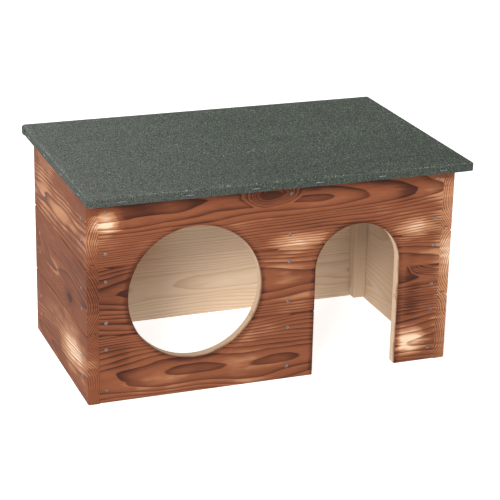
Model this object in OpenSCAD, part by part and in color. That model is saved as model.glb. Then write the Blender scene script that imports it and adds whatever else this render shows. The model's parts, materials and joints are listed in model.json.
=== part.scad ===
// Open-bottomed rabbit house: boarded timber walls with a round hole and an arched door,
// under a flat felted roof that lifts on two butt hinges at the back.
// Origin at the middle of the footprint, on the ground. +Z is up and the front faces -Y.

/* [House] */
// Width over the side walls
house_w = 486; // [380:1:640]
// Depth from the front face to the back face
house_d = 254; // [190:1:340]
// Height of the walls
wall_h = 268; // [210:1:340]
// Thickness of the wall boards
board_t = 15; // [12:0.5:20]

/* [Board joints] */
// Thickness of a wall board's tongue
tongue_t = 5; // [3:0.5:6]
// Height of a wall board's tongue
tongue_h = 5; // [3:0.5:8]
// Play on each side of a tongue in its groove
tongue_play = 0.2; // [0.1:0.05:0.4]
// Play between the end of a tongue and the bottom of its groove
groove_end_play = 0.8; // [0.3:0.1:1.5]
// Chamfer on the outer arris of each board
arris = 1.5; // [0.5:0.1:2.5]

/* [Round hole] */
// Diameter of the round hole
hole_d = 174; // [130:1:190]
// Middle of the hole from the left end of the house
hole_x = 139; // [120:1:150]
// Height of the middle of the hole
hole_z = 134; // [105:1:150]

/* [Arched door] */
// Width of the door
door_w = 116; // [90:1:130]
// Height of the door at the crown of its arch
door_h = 201; // [130:1:205]
// Middle of the door from the left end of the house
door_x = 356; // [350:1:370]

/* [Battens] */
// Side of the square battens inside the walls
batten_w = 18; // [14:1:22]
// Distance that the battens stop short of the ground and of the wall tops
batten_short = 3; // [1:0.5:6]

/* [Roof] */
// Overhang past the side walls
side_overhang = 7; // [4:0.5:40]
// Overhang past the front wall
front_overhang = 35; // [20:1:60]
// Overhang past the back wall
back_overhang = 35; // [32:1:45]
// Thickness of the roof boards
roof_board_t = 10; // [8:0.5:14]
// Thickness of the roofing felt
felt_t = 2; // [1:0.25:3]
// Gap between the closed roof and the wall tops
roof_gap = 0.3; // [0.2:0.1:1]
// Thickness of a roof board's tongue
roof_tongue_t = 3.5; // [2.5:0.25:4]
// Height of a roof board's tongue
roof_tongue_h = 4; // [3:0.5:6]

/* [Roof battens] */
// Width of the two battens under the roof
roof_batten_w = 30; // [20:1:45]
// Thickness of the two battens under the roof
roof_batten_t = 15; // [10:1:20]
// Clearance from the roof battens to the walls and to the corner battens
roof_batten_clearance = 5; // [3:0.5:12]

/* [Hinges] */
// Length of a hinge
hinge_len = 50; // [40:1:70]
// Width of a leaf from the pin to its edge
leaf_w = 22; // [18:1:24]
// Thickness of a leaf
leaf_t = 1.2; // [0.8:0.1:1.6]
// Radius of a knuckle
knuckle_r = 2.75; // [2.4:0.05:3.5]
// Radius of a hinge pin
pin_r = 1.25; // [1:0.05:1.5]
// Radial play of the pin in the roof leaf
pin_play = 0.07; // [0.03:0.01:0.1]
// Gap between one knuckle and the next
knuckle_gap = 0.3; // [0.2:0.05:0.5]
// Middle of each hinge from the end of the house
hinge_inset = 100; // [60:1:130]

/* [Screws] */
// Radius of a screw's head
screw_head_r = 2.7; // [2.4:0.1:3]
// Radius of a screw's shank
screw_r = 1.4; // [1.1:0.1:1.6]
// Length of a hinge screw
hinge_screw_len = 9; // [7:0.5:9]
// Length of a roof batten screw
batten_screw_len = 22; // [18:1:24]

/* [Nails] */
// Radius of a nail's head
nail_head_r = 2.3; // [1.8:0.1:3]
// Radius of a nail's shank
nail_r = 1; // [0.8:0.1:1.3]
// Length of a nail
nail_len = 28; // [24:1:30]
// Height that a nail's head stands proud of the board
nail_proud = 0.2; // [0.1:0.05:0.5]

/* [Felt staples] */
// Width of a staple's crown
staple_w = 10; // [8:0.5:14]
// Thickness of the staple wire
staple_wire = 1; // [0.7:0.1:1.3]
// Length of a staple's legs
staple_len = 10; // [8:0.5:14]
// Staples in the front edge, and in the back edge
staples_long_side = 6; // [3:1:10]
// Staples in each end
staples_short_side = 4; // [2:1:8]

/* [Hidden] */
$fn = 48;

stained = "#8c5440";
bare_pine = "#cdab86";
felt_green = "#565d56";
zinc = "#b4b6b8";

// Walls: courses are counted from the ground, 0 to 2
courses = 3;
cover = wall_h / courses;
inside_w = house_w - 2 * board_t;
inside_d = house_d - 2 * board_t;
hole_at = hole_x - house_w / 2;
door_at = door_x - house_w / 2;
hole_r = hole_d / 2;
arch_r = door_w / 2;
cut_fn = 144;
past = 20; // how far a cutting solid runs past what it cuts

// Battens
batten_h = wall_h - 2 * batten_short;
corner_x = inside_w / 2 - batten_w / 2;
corner_y = inside_d / 2 - batten_w / 2;
centre_x = (hole_at + hole_r + door_at - arch_r) / 2;

// Nails: shares of a course's height, so that nails from two sides miss each other
long_wall_rows = [0.2, 0.8];
side_wall_rows = [0.35, 0.65];

// Roof
roof_z = wall_h + roof_gap;
roof_w = house_w + 2 * side_overhang;
roof_d = house_d + front_overhang + back_overhang;
roof_y = (back_overhang - front_overhang) / 2;
deck_w = roof_w - 2 * felt_t;
deck_d = roof_d - 2 * felt_t;
deck_front = roof_y - deck_d / 2;
roof_cover = deck_d / courses;
roof_batten_x = inside_w / 2 - batten_w - roof_batten_clearance - roof_batten_w / 2;
roof_batten_len = inside_d - 2 * roof_batten_clearance;

// Hinges: the pin lies in the corner between the back wall and the roof's underside
pin_y = house_d / 2 + knuckle_r;
pin_z = roof_z - knuckle_r;
hinge_at = house_w / 2 - hinge_inset;
knuckles = 5;
knuckle_pitch = hinge_len / knuckles;
leaf_root = knuckle_r + knuckle_gap;
leaf_corner_r = 3;
screw_row = (leaf_root + leaf_w) / 2;
screw_end = 8; // from the end of a leaf to the middle of its outer screws
screw_pitch = hinge_len / 2 - screw_end;
pin_head_r = knuckle_r - 0.4;
pin_head_t = 0.8;

// Screws and nails
screw_play = 0.15;
screw_head_t = screw_head_r - screw_r;
recess_len = 2.8;
recess_w = 0.6;
recess_depth = 0.9;
point_len = 2.5;
nail_head_t = 0.9;

// ---- Boards ----

// Section of a tongued and grooved board: x runs in from the outer face, y runs up
module board_section(thick, high, tongue, rise, grooved, tongued) {
    mid = thick / 2;
    slot = tongue / 2 + tongue_play;
    groove = grooved
        ? [[mid - slot, 0], [mid - slot, rise + groove_end_play],
           [mid + slot, rise + groove_end_play], [mid + slot, 0]]
        : [];
    ridge = tongued
        ? [[mid + tongue / 2, high], [mid + tongue / 2, high + rise],
           [mid - tongue / 2, high + rise], [mid - tongue / 2, high]]
        : [];
    polygon(concat([[arris, 0]], groove, [[thick, 0], [thick, high]], ridge,
        [[arris, high], [0, high - arris], [0, arris]]));
}

// One wall board: its outer face is the plane y = 0 and it runs along +X from the origin
module wall_board(len, course) {
    translate([0, 0, course * cover])
        rotate([90, 0, 90])
            linear_extrude(len)
                board_section(board_t, cover, tongue_t, tongue_h, course > 0, course < courses - 1);
}

module round_hole() {
    translate([hole_at, -house_d / 2 + board_t / 2, hole_z])
        rotate([90, 0, 0])
            cylinder(h = board_t + 2 * past, r = hole_r, center = true, $fn = cut_fn);
}

module arched_door() {
    translate([door_at, -house_d / 2 + board_t / 2, 0]) {
        translate([0, 0, door_h - arch_r])
            rotate([90, 0, 0])
                cylinder(h = board_t + 2 * past, r = arch_r, center = true, $fn = cut_fn);
        translate([-arch_r, -board_t / 2 - past, -past])
            cube([door_w, board_t + 2 * past, door_h - arch_r + past]);
    }
}

// The part of a front board that lies between two upright planes, with the openings cut out
module front_board(course, from_x, to_x) {
    color(stained)
        difference() {
            translate([from_x, -house_d / 2, 0])
                wall_board(to_x - from_x, course);
            round_hole();
            arched_door();
        }
}

module back_board(course) {
    color(stained)
        rotate([0, 0, 180])
            translate([-inside_w / 2, -house_d / 2, 0])
                wall_board(inside_w, course);
}

// side is -1 for the left wall and 1 for the right one
module side_board(course, side) {
    color(stained)
        rotate([0, 0, 90 * side])
            translate([-house_d / 2, -house_w / 2, 0])
                wall_board(house_d, course);
}

// ---- Battens ----

module wall_batten(x, y) {
    color(bare_pine)
        translate([x - batten_w / 2, y - batten_w / 2, batten_short])
            cube([batten_w, batten_w, batten_h]);
}

module roof_batten(side) {
    color(bare_pine)
        translate([side * roof_batten_x - roof_batten_w / 2, -roof_batten_len / 2, roof_z - roof_batten_t])
            cube([roof_batten_w, roof_batten_len, roof_batten_t]);
}

// ---- Nails ----

// A nail driven along +Y from the plane y = 0
module nail() {
    rotate([-90, 0, 0])
        rotate_extrude()
            polygon([[0, -nail_proud], [nail_head_r, -nail_proud], [nail_head_r, nail_head_t - nail_proud],
                [nail_r, nail_head_t - nail_proud], [nail_r, nail_len - point_len], [0, nail_len]]);
}

// Two nails a course at each of the places xs, along a wall whose outer face is y = -reach
module wall_nails(xs, reach, rows) {
    color(zinc)
        for (x = xs, course = [0 : courses - 1], row = rows)
            translate([x, -reach, (course + row) * cover])
                nail();
}

module front_nails() {
    wall_nails([-corner_x, centre_x, corner_x], house_d / 2, long_wall_rows);
}

module back_nails() {
    rotate([0, 0, 180])
        wall_nails([-corner_x, corner_x], house_d / 2, long_wall_rows);
}

module side_nails(side) {
    rotate([0, 0, 90 * side])
        wall_nails([-corner_y, corner_y], house_w / 2, side_wall_rows);
}

// ---- Screws ----

// A countersunk screw with a cross recess, its head flush with z = 0 and its point up
module screw(len) {
    color(zinc)
        difference() {
            rotate_extrude()
                polygon([[0, 0], [screw_head_r, 0], [screw_r, screw_head_t],
                    [screw_r, len - point_len], [0, len]]);
            for (turn = [0, 90])
                rotate([0, 0, turn])
                    translate([-recess_len / 2, -recess_w / 2, -recess_depth])
                        cube([recess_len, recess_w, 2 * recess_depth]);
        }
}

// The hole that a screw's head and shank need in a leaf whose outer face is z = 0
module screw_hole() {
    translate([0, 0, -screw_play])
        cylinder(h = screw_head_t + screw_play, r1 = screw_head_r + 2 * screw_play, r2 = screw_r + screw_play);
    cylinder(h = 2 * past, r = screw_r + screw_play);
}

module roof_batten_screws() {
    for (side = [-1, 1], y = [-1, 0, 1], across = [-1, 1])
        translate([
            side * roof_batten_x + across * roof_batten_w / 4,
            y * (roof_batten_len / 2 - roof_batten_w) + across * roof_batten_w / 4,
            roof_z - roof_batten_t
        ])
            screw(batten_screw_len);
}

// ---- Roof ----

// Row 0 is at the front. The face side, with its chamfers, looks down into the house
module roof_board(row) {
    color(bare_pine)
        translate([-deck_w / 2, deck_front + row * roof_cover, roof_z])
            rotate([0, 90, 0])
                rotate([0, 0, 90])
                    linear_extrude(deck_w)
                        mirror([1, -1, 0])
                            board_section(roof_board_t, roof_cover, roof_tongue_t, roof_tongue_h,
                                row > 0, row < courses - 1);
}

// The felt covers the boards and turns down over all four edges
module roofing_felt() {
    color(felt_green)
        translate([0, roof_y, roof_z])
            difference() {
                translate([-roof_w / 2, -roof_d / 2, 0])
                    cube([roof_w, roof_d, roof_board_t + felt_t]);
                translate([-deck_w / 2, -deck_d / 2, -past])
                    cube([deck_w, deck_d, roof_board_t + past]);
            }
}

// A staple driven along +Y from the plane y = 0, with its crown level
module staple() {
    translate([-staple_w / 2, -staple_wire / 2, -staple_wire / 2])
        cube([staple_w, staple_wire, staple_wire]);
    for (end = [-1, 1])
        translate([end * (staple_w - staple_wire) / 2 - staple_wire / 2, -staple_wire / 2, -staple_wire / 2])
            cube([staple_wire, staple_len, staple_wire]);
}

// A row of staples along an edge of the roof that is len long and reach from the middle
module staple_row(len, reach, count) {
    for (i = [0 : count - 1])
        translate([(i + 0.5) * len / count - len / 2, -reach, 0])
            staple();
}

module felt_staples() {
    color(zinc)
        translate([0, roof_y, roof_z + roof_board_t / 2])
            for (end = [0, 180])
                rotate([0, 0, end]) {
                    staple_row(roof_w, roof_d / 2, staples_long_side);
                    rotate([0, 0, 90])
                        staple_row(roof_d, roof_w / 2, staples_short_side);
                }
}

// ---- Hinges ----

// A leaf lies on z = 0 with its plate along +Y and its pin along X at z = -knuckle_r.
// first is 0 for the leaf with the outer knuckles and 1 for the other
module leaf(first, bore_r) {
    difference() {
        union() {
            translate([0, (leaf_root + leaf_w) / 2, -leaf_t])
                linear_extrude(leaf_t)
                    leaf_plate();
            for (k = [first : 2 : knuckles - 1])
                translate([(k - (knuckles - 1) / 2) * knuckle_pitch, 0, -knuckle_r])
                    knuckle(knuckle_pitch - knuckle_gap);
        }
        translate([0, 0, -knuckle_r])
            rotate([0, 90, 0])
                cylinder(h = hinge_len + 2 * past, r = bore_r, center = true);
        for (i = [-1, 0, 1])
            translate([i * screw_pitch, screw_row, -leaf_t])
                screw_hole();
    }
}

module leaf_plate() {
    plate_w = leaf_w - leaf_root;
    difference() {
        square([hinge_len, plate_w], center = true);
        for (end = [-1, 1])
            translate([end * (hinge_len / 2 - leaf_corner_r), plate_w / 2 - leaf_corner_r])
                difference() {
                    translate([end < 0 ? -past : 0, 0])
                        square(past);
                    circle(r = leaf_corner_r);
                }
    }
}

// One knuckle about the X axis, with the tab that joins it to the plate
module knuckle(len) {
    rotate([0, 90, 0])
        cylinder(h = len, r = knuckle_r, center = true);
    translate([-len / 2, 0, knuckle_r - leaf_t])
        cube([len, leaf_root, leaf_t]);
}

// Puts a leaf or its screws under the roof's overhang: side is -1 on the left, 1 on the right
module on_roof(side) {
    color(zinc)
        translate([side * hinge_at, pin_y, roof_z])
            children();
}

// Puts a leaf or its screws on the back wall's outer face, its plate hanging down
module on_wall(side) {
    color(zinc)
        translate([side * hinge_at, house_d / 2, pin_z])
            rotate([-90, 0, 180])
                children();
}

module hinge_screws() {
    for (i = [-1, 0, 1])
        translate([i * screw_pitch, screw_row, -leaf_t])
            screw(hinge_screw_len);
}

module hinge_pin(side) {
    color(zinc)
        translate([side * hinge_at, pin_y, pin_z])
            rotate([0, 90, 0]) {
                cylinder(h = hinge_len, r = pin_r, center = true);
                for (end = [-1, 1])
                    translate([0, 0, end * (hinge_len + pin_head_t) / 2])
                        cylinder(h = pin_head_t, r = pin_head_r, center = true);
            }
}

// ---- Nodes ----

front_board(0, -inside_w / 2, door_at);  // front_board_bottom_left
front_board(0, door_at, inside_w / 2);  // front_board_bottom_right
front_board(1, -inside_w / 2, hole_at);  // front_board_middle_left
front_board(1, hole_at, door_at);  // front_board_middle_centre
front_board(1, door_at, inside_w / 2);  // front_board_middle_right
front_board(2, -inside_w / 2, inside_w / 2);  // front_board_top
back_board(0);  // back_board_bottom
back_board(1);  // back_board_middle
back_board(2);  // back_board_top
side_board(0, -1);  // left_board_bottom
side_board(1, -1);  // left_board_middle
side_board(2, -1);  // left_board_top
side_board(0, 1);  // right_board_bottom
side_board(1, 1);  // right_board_middle
side_board(2, 1);  // right_board_top
wall_batten(-corner_x, -corner_y);  // corner_batten_front_left
wall_batten(corner_x, -corner_y);  // corner_batten_front_right
wall_batten(-corner_x, corner_y);  // corner_batten_back_left
wall_batten(corner_x, corner_y);  // corner_batten_back_right
wall_batten(centre_x, -corner_y);  // centre_batten
front_nails();
back_nails();
side_nails(-1);  // left_nails
side_nails(1);  // right_nails
roof_board(0);  // roof_board_front
roof_board(1);  // roof_board_middle
roof_board(2);  // roof_board_back
roof_batten(-1);  // roof_batten_left
roof_batten(1);  // roof_batten_right
roof_batten_screws();
roofing_felt();
felt_staples();
on_wall(-1) leaf(0, pin_r);  // left_hinge_wall_leaf
on_roof(-1) leaf(1, pin_r + pin_play);  // left_hinge_roof_leaf
hinge_pin(-1);  // left_hinge_pin
on_wall(-1) hinge_screws();  // left_hinge_wall_screws
on_roof(-1) hinge_screws();  // left_hinge_roof_screws
on_wall(1) leaf(0, pin_r);  // right_hinge_wall_leaf
on_roof(1) leaf(1, pin_r + pin_play);  // right_hinge_roof_leaf
hinge_pin(1);  // right_hinge_pin
on_wall(1) hinge_screws();  // right_hinge_wall_screws
on_roof(1) hinge_screws();  // right_hinge_roof_screws
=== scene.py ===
"""A small timber house for a pet rabbit: scorched pine boards and a felted roof on two hinges.

All lengths are in metres. +Z is up and the front, with its two openings, faces -Y.
"""

import json
import math
import random

import bpy
from mathutils import Matrix, Vector, noise


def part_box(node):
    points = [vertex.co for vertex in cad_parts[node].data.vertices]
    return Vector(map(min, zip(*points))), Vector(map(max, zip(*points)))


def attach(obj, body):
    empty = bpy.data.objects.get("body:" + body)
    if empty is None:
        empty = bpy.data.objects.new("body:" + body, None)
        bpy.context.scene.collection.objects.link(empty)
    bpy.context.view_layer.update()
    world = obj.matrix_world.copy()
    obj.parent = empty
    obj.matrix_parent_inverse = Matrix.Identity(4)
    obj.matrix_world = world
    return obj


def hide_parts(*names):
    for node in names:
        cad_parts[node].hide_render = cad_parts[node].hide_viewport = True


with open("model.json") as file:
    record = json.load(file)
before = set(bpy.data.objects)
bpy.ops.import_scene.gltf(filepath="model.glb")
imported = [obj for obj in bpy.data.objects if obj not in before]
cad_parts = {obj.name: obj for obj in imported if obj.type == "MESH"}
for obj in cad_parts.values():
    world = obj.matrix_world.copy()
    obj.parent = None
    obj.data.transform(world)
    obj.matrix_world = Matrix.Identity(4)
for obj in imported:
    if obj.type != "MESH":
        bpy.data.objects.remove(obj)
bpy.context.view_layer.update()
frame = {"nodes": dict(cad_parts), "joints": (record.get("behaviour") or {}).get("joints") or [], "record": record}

MM = 0.001
LEFT, RIGHT = Vector((-1, 0, 0)), Vector((1, 0, 0))
FRONT, BACK = Vector((0, -1, 0)), Vector((0, 1, 0))
UP = Vector((0, 0, 1))

# ---- Sizes, taken from the frame where it has them ----


def opening(name):
    """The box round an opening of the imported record."""
    found = next(o for o in frame["record"]["physics"]["openings"] if o["name"] == name)
    return [Vector(corner) for corner in found["box_m"]]


HOUSE_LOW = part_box("left_board_bottom")[0]
HOUSE_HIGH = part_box("right_board_top")[1]
ROOF_LOW, ROOF_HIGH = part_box("roofing_felt")
DECK_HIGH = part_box("roof_board_middle")[1].z
BOARD_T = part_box("front_board_top")[1].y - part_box("front_board_top")[0].y
COVER = (HOUSE_HIGH.z - HOUSE_LOW.z) / 3
ROOF_COVER = (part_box("roof_board_back")[1].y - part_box("roof_board_front")[0].y) / 3
ROOF_BOARD_T = DECK_HIGH - ROOF_LOW.z
WALL_H = HOUSE_HIGH.z
HOLE_R = 87 * MM
HOLE_X, _, HOLE_Z = sum(opening("round_hole"), Vector()) / 2
DOOR_R, DOOR_TOP = 58 * MM, 201 * MM
DOOR_X = (opening("arched_door")[0].x + opening("arched_door")[1].x) / 2

# How near counts as on a line or plane, and as the same corner
NEAR, SAME = 0.01 * MM, 0.001 * MM

# ---- Working on a piece by hand ----


def put_down():
    """Nothing is selected or being edited after this."""
    if bpy.context.object and bpy.context.object.mode != "OBJECT":
        bpy.ops.object.mode_set(mode="OBJECT")
    bpy.ops.object.select_all(action="DESELECT")


def take_up(piece):
    """piece alone is selected and active."""
    put_down()
    piece.select_set(True)
    bpy.context.view_layer.objects.active = piece


def named(name):
    """The primitive that was just added, under its own name."""
    piece = bpy.context.object
    piece.name = name
    piece.data.name = name
    return piece


def block(name, low, high):
    """A block from its lowest corner to its highest, its place already in its mesh."""
    put_down()
    low, high = Vector(low), Vector(high)
    bpy.ops.mesh.primitive_cube_add(size=1, location=(low + high) / 2)
    bpy.context.object.scale = high - low
    piece = named(name)
    settle(piece)
    return piece


def rod(name, start, axis, length, radius, sides=24):
    """A round rod from start along axis."""
    put_down()
    axis = Vector(axis).normalized()
    turn = UP.rotation_difference(axis)
    bpy.ops.mesh.primitive_cylinder_add(
        vertices=sides, radius=radius, depth=length,
        location=Vector(start) + axis * length / 2, rotation=turn.to_euler(),
    )
    piece = named(name)
    settle(piece)
    return piece


def cone(name, start, radius, top_radius):
    """A cone of 45 degrees that narrows upwards from start."""
    put_down()
    height = radius - top_radius
    bpy.ops.mesh.primitive_cone_add(
        vertices=28, radius1=radius, radius2=top_radius, depth=height,
        location=Vector(start) + UP * height / 2,
    )
    piece = named(name)
    settle(piece)
    return piece


def settle(piece):
    """The piece's place, turn and size go into its mesh."""
    take_up(piece)
    bpy.ops.object.transform_apply(location=True, rotation=True, scale=True)


def pick(piece, kind, wanted):
    """Edit mode on piece, with only the faces or edges for which wanted(it) is true selected."""
    take_up(piece)
    bpy.ops.object.mode_set(mode="EDIT")
    bpy.ops.mesh.select_mode(type=kind)
    bpy.ops.mesh.select_all(action="DESELECT")
    bpy.ops.object.mode_set(mode="OBJECT")
    for part in piece.data.polygons if kind == "FACE" else piece.data.edges:
        part.select = wanted(part)
    bpy.ops.object.mode_set(mode="EDIT")


def pick_faces(piece, wanted):
    """wanted takes a face."""
    pick(piece, "FACE", wanted)


def pick_edges(piece, wanted):
    """wanted takes the places of an edge's two ends."""
    pick(piece, "EDGE", lambda edge: wanted(*(piece.data.vertices[i].co for i in edge.vertices)))


def slice_at(place, normal):
    """Cuts through the whole piece that is being edited, and keeps both sides."""
    bpy.ops.mesh.select_all(action="SELECT")
    bpy.ops.mesh.bisect(plane_co=place, plane_no=normal)


def pull(way):
    """Extrudes the selected faces."""
    bpy.ops.mesh.extrude_region_move(TRANSFORM_OT_translate={"value": way})


def modify(piece, kind, **settings):
    """A modifier, set and applied at once."""
    take_up(piece)
    modifier = piece.modifiers.new(kind.title(), kind)
    for key, value in settings.items():
        setattr(modifier, key, value)
    bpy.ops.object.modifier_apply(modifier=modifier.name)


def cut(piece, cutter):
    """Takes cutter's shape out of piece, and throws the cutter away."""
    modify(piece, "BOOLEAN", operation="DIFFERENCE", object=cutter, solver="EXACT")
    bpy.data.objects.remove(cutter)


def unite(piece, other):
    """Adds other's shape to piece, and throws the other away."""
    modify(piece, "BOOLEAN", operation="UNION", object=other, solver="EXACT")
    bpy.data.objects.remove(other)


def copy_to(place, pattern):
    """A copy of pattern, moved and turned by the matrix place."""
    copy = pattern.copy()
    copy.data = pattern.data.copy()
    bpy.context.scene.collection.objects.link(copy)
    copy.matrix_world = place
    settle(copy)
    return copy


def coat(piece, material):
    """The whole piece takes one material."""
    piece.data.materials.clear()
    piece.data.materials.append(material)


def join(name, pieces):
    """Several pieces as one mesh."""
    put_down()
    for piece in pieces:
        piece.select_set(True)
    bpy.context.view_layer.objects.active = pieces[0]
    if len(pieces) > 1:
        bpy.ops.object.join()
    return named(name)


def shade(piece, angle):
    """Smooth across angles below this one, with the flats kept flat."""
    take_up(piece)
    bpy.ops.object.shade_smooth_by_angle(angle=math.radians(angle))
    modify(piece, "WEIGHTED_NORMAL", keep_sharp=True, weight=100)


def round_over(piece, width, segments=2, angle=35):
    """Rounds the edges that turn by more than angle."""
    modify(
        piece, "BEVEL", width=width, segments=segments, limit_method="ANGLE",
        angle_limit=math.radians(angle), use_clamp_overlap=True,
    )
    weld(piece)


def weld(piece):
    """Merges the corners that a cut or a bevel left all but on top of each other."""
    pick_faces(piece, lambda face: True)
    bpy.ops.mesh.remove_doubles(threshold=SAME)
    bpy.ops.mesh.dissolve_degenerate(threshold=SAME)
    put_down()


def ease(piece, width, segments=2, angle=35):
    """Rounds the sharp edges, and shades the rest smooth."""
    round_over(piece, width, segments, angle)
    shade(piece, 50)


def islands(node):
    """The lowest and highest corner of each separate solid in a CAD node."""
    put_down()
    copy = frame["nodes"][node].copy()
    copy.data = copy.data.copy()
    copy.parent = None
    bpy.context.scene.collection.objects.link(copy)
    take_up(copy)
    bpy.ops.object.mode_set(mode="EDIT")
    bpy.ops.mesh.select_all(action="SELECT")
    bpy.ops.mesh.remove_doubles(threshold=SAME)
    bpy.ops.mesh.separate(type="LOOSE")
    bpy.ops.object.mode_set(mode="OBJECT")
    found = []
    for solid in list(bpy.context.selected_objects):
        spots = [v.co for v in solid.data.vertices]
        found.append(tuple(Vector(f(s[i] for s in spots) for i in range(3)) for f in (min, max)))
        bpy.data.objects.remove(solid)
    return sorted(found, key=lambda pair: tuple(round(c, 5) for c in pair[0]))


# ---- Materials: small steps ----


def new_material(name):
    material = bpy.data.materials.new(name)
    material.use_nodes = True
    tree = material.node_tree
    return material, tree, tree.nodes["Principled BSDF"]


def plug(tree, socket, value):
    """Links value to socket if it is a socket too, and otherwise sets it."""
    if isinstance(value, bpy.types.NodeSocket):
        tree.links.new(value, socket)
    else:
        socket.default_value = value


def calc(tree, operation, *values, kind="ShaderNodeMath"):
    """The output of a Math node, or of a Vector Math node."""
    node = tree.nodes.new(kind)
    node.operation = operation
    for socket, value in zip(node.inputs, values):
        plug(tree, socket, value)
    return node.outputs[0]


def add(tree, first, *others):
    total = first
    for other in others:
        total = calc(tree, "ADD", total, other)
    return total


def minus(tree, first, second):
    return calc(tree, "SUBTRACT", first, second)


def times(tree, first, second):
    return calc(tree, "MULTIPLY", first, second)


def over(tree, first, second):
    return calc(tree, "DIVIDE", first, second)


def hypotenuse(tree, first, second):
    return calc(tree, "SQRT", add(tree, times(tree, first, first), times(tree, second, second)))


def stretched(tree, vector, scale, shift=(0, 0, 0)):
    """vector, scaled and then shifted."""
    node = tree.nodes.new("ShaderNodeMapping")
    plug(tree, node.inputs["Vector"], vector)
    node.inputs["Scale"].default_value = scale
    node.inputs["Location"].default_value = shift
    return node.outputs[0]


def cloud(tree, vector, scale=1.0, detail=2.0, roughness=0.5, output="Fac"):
    """Noise from 0 to 1 about a half."""
    node = tree.nodes.new("ShaderNodeTexNoise")
    plug(tree, node.inputs["Vector"], vector)
    node.inputs["Scale"].default_value = scale
    node.inputs["Detail"].default_value = detail
    node.inputs["Roughness"].default_value = roughness
    return node.outputs[output]


def sway(tree, vector, scale=1.0, detail=2.0, roughness=0.5):
    """Noise from a half below 0 to a half above it."""
    return minus(tree, cloud(tree, vector, scale, detail, roughness), 0.5)


def cells(tree, vector, scale, dimensions="3D"):
    """A Voronoi pattern's distance and random colour."""
    node = tree.nodes.new("ShaderNodeTexVoronoi")
    node.voronoi_dimensions = dimensions
    plug(tree, node.inputs["Vector"], vector)
    node.inputs["Scale"].default_value = scale
    return node.outputs["Distance"], node.outputs["Color"]


def remap(tree, value, low, high, to_low=0.0, to_high=1.0, smooth=True):
    """value from the range low to high brought to another range, and held inside it."""
    node = tree.nodes.new("ShaderNodeMapRange")
    node.interpolation_type = "SMOOTHSTEP" if smooth else "LINEAR"
    node.clamp = True
    settings = {"Value": value, "From Min": low, "From Max": high, "To Min": to_low, "To Max": to_high}
    for key, setting in settings.items():
        plug(tree, node.inputs[key], setting)
    return node.outputs[0]


def blend(tree, share, first, second, kind="MIX"):
    """first where share is 0, second where it is 1."""
    node = tree.nodes.new("ShaderNodeMix")
    node.data_type = "RGBA"
    node.blend_type = kind
    plug(tree, node.inputs["Factor"], share)
    for socket, value in ((node.inputs[6], first), (node.inputs[7], second)):
        plug(tree, socket, value if isinstance(value, bpy.types.NodeSocket) else (*value, 1))
    return node.outputs[2]


def dimmed(tree, colour, factor):
    """colour, brighter or darker by factor."""
    return blend(tree, 1.0, colour, joined(tree, factor, factor, factor), "MULTIPLY")


def split(tree, vector):
    """The X, Y and Z of a vector, or the red, green and blue of a colour."""
    node = tree.nodes.new("ShaderNodeSeparateXYZ")
    plug(tree, node.inputs[0], vector)
    return node.outputs


def joined(tree, x, y, z):
    """A vector from its X, Y and Z."""
    node = tree.nodes.new("ShaderNodeCombineXYZ")
    for socket, value in zip(node.inputs, (x, y, z)):
        plug(tree, socket, value)
    return node.outputs[0]


def read(tree, name):
    """A piece's own attribute."""
    node = tree.nodes.new("ShaderNodeAttribute")
    node.attribute_name = name
    return node


def places(tree):
    """Object coordinates, which are the frame's because every piece sits at the origin."""
    return tree.nodes.new("ShaderNodeTexCoord").outputs["Object"]


def pushed_about(tree, place, scale, reach):
    """place, pushed to and fro by as much as half of reach along each axis."""
    push = cloud(tree, stretched(tree, place, scale), 1.0, 3.0, output="Color")
    pushed = calc(tree, "MULTIPLY_ADD", push, reach, place, kind="ShaderNodeVectorMath")
    half = [way / 2 for way in reach]
    return calc(tree, "SUBTRACT", pushed, half, kind="ShaderNodeVectorMath")


def surface(tree, shader, colour, rough, gloss=0.5, metallic=0.0):
    plug(tree, shader.inputs["Base Color"], colour)
    plug(tree, shader.inputs["Roughness"], rough)
    shader.inputs["Specular IOR Level"].default_value = gloss
    shader.inputs["Metallic"].default_value = metallic


def relief(tree, shader, height, distance, strength):
    """A bump from height, which stands for distance."""
    node = tree.nodes.new("ShaderNodeBump")
    node.inputs["Strength"].default_value = strength
    node.inputs["Distance"].default_value = distance
    plug(tree, node.inputs["Height"], height)
    tree.links.new(node.outputs[0], shader.inputs["Normal"])


# ---- Materials: pine ----

RING_W = 2.7 * MM
BENDS, RIPPLES = 34 * MM, 1.6 * MM  # how far the rings stray from round
BRANCH_ARC = 75 * MM  # the distance from the pith at which the branches' spacing is true
KNOTS_PER_M, KNOT_LONG = 7.0, 0.62  # how many round the pith, and their share of that along it
KNOT_LEAST, KNOT_MOST = 0.5 * MM, 8.5 * MM  # radii
KNOT_RING_W, KNOT_RAGGED = 1.3 * MM, 12 * MM


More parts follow.
